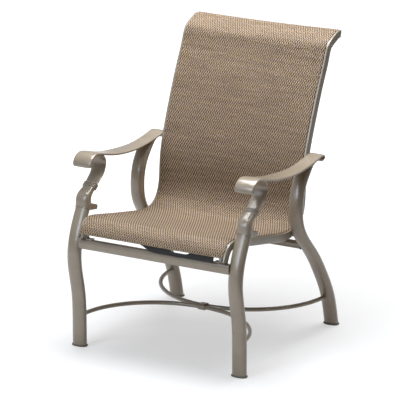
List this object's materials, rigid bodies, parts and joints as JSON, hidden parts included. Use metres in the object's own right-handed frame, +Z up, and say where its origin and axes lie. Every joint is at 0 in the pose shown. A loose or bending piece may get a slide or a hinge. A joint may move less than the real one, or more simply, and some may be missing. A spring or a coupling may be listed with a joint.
{
  "type": "sling patio chair",
  "caption": "High-back outdoor dining armchair with S-curved tubular legs, scrolled flat arms, bow rods near the floor and a woven sling seat.",
  "frame": {"origin": "on the floor, under the middle of the chair's bounding box", "axes": "+Z up; the sitter faces -Y; +X is the sitter's left"},
  "size_m": [0.674, 0.7664, 0.9888],
  "materials": {
    "frame_paint": "satin taupe powder coat on aluminium",
    "rail_paint": "satin taupe powder coat on extruded aluminium",
    "cap_plastic": "moulded, matt",
    "sling_weave": "woven vinyl-coated yarn, tan and brown",
    "cord_vinyl": "extruded vinyl",
    "fastener_steel": "stainless, plain"
  },
  "bodies": {
    "root": {"front_leg_left": "frame_paint", "rear_leg_left": "frame_paint", "arm_post_left": "frame_paint", "arm_strap_left": "frame_paint", "foot_cap_front_left": "cap_plastic", "foot_cap_rear_left": "cap_plastic", "front_leg_right": "frame_paint", "rear_leg_right": "frame_paint", "arm_post_right": "frame_paint", "arm_strap_right": "frame_paint", "foot_cap_front_right": "cap_plastic", "foot_cap_rear_right": "cap_plastic", "front_stretcher": "frame_paint", "rear_stretcher": "frame_paint", "bow_rod_front": "frame_paint", "bow_rod_rear": "frame_paint", "rod_clamp": "frame_paint", "sling_rail_left": "rail_paint", "spline_cord_left": "cord_vinyl", "rail_cap_lower_left": "cap_plastic", "rail_cap_upper_left": "cap_plastic", "nose_bracket_left": "rail_paint", "sling_rail_right": "rail_paint", "spline_cord_right": "cord_vinyl", "rail_cap_lower_right": "cap_plastic", "rail_cap_upper_right": "cap_plastic", "nose_bracket_right": "rail_paint", "sling_cloth": "sling_weave", "spreader_bar_seat": "rail_paint", "spreader_screw_seat_left": "fastener_steel", "spreader_screw_seat_right": "fastener_steel", "spreader_bar_lumbar": "rail_paint", "spreader_screw_lumbar_left": "fastener_steel", "spreader_screw_lumbar_right": "fastener_steel", "spreader_bar_top": "rail_paint", "spreader_screw_top_left": "fastener_steel", "spreader_screw_top_right": "fastener_steel", "seat_bolt_left": "fastener_steel", "seat_spacer_left": "fastener_steel", "seat_nut_left": "fastener_steel", "seat_bolt_right": "fastener_steel", "seat_spacer_right": "fastener_steel", "seat_nut_right": "fastener_steel"}
  },
  "joints": []
}
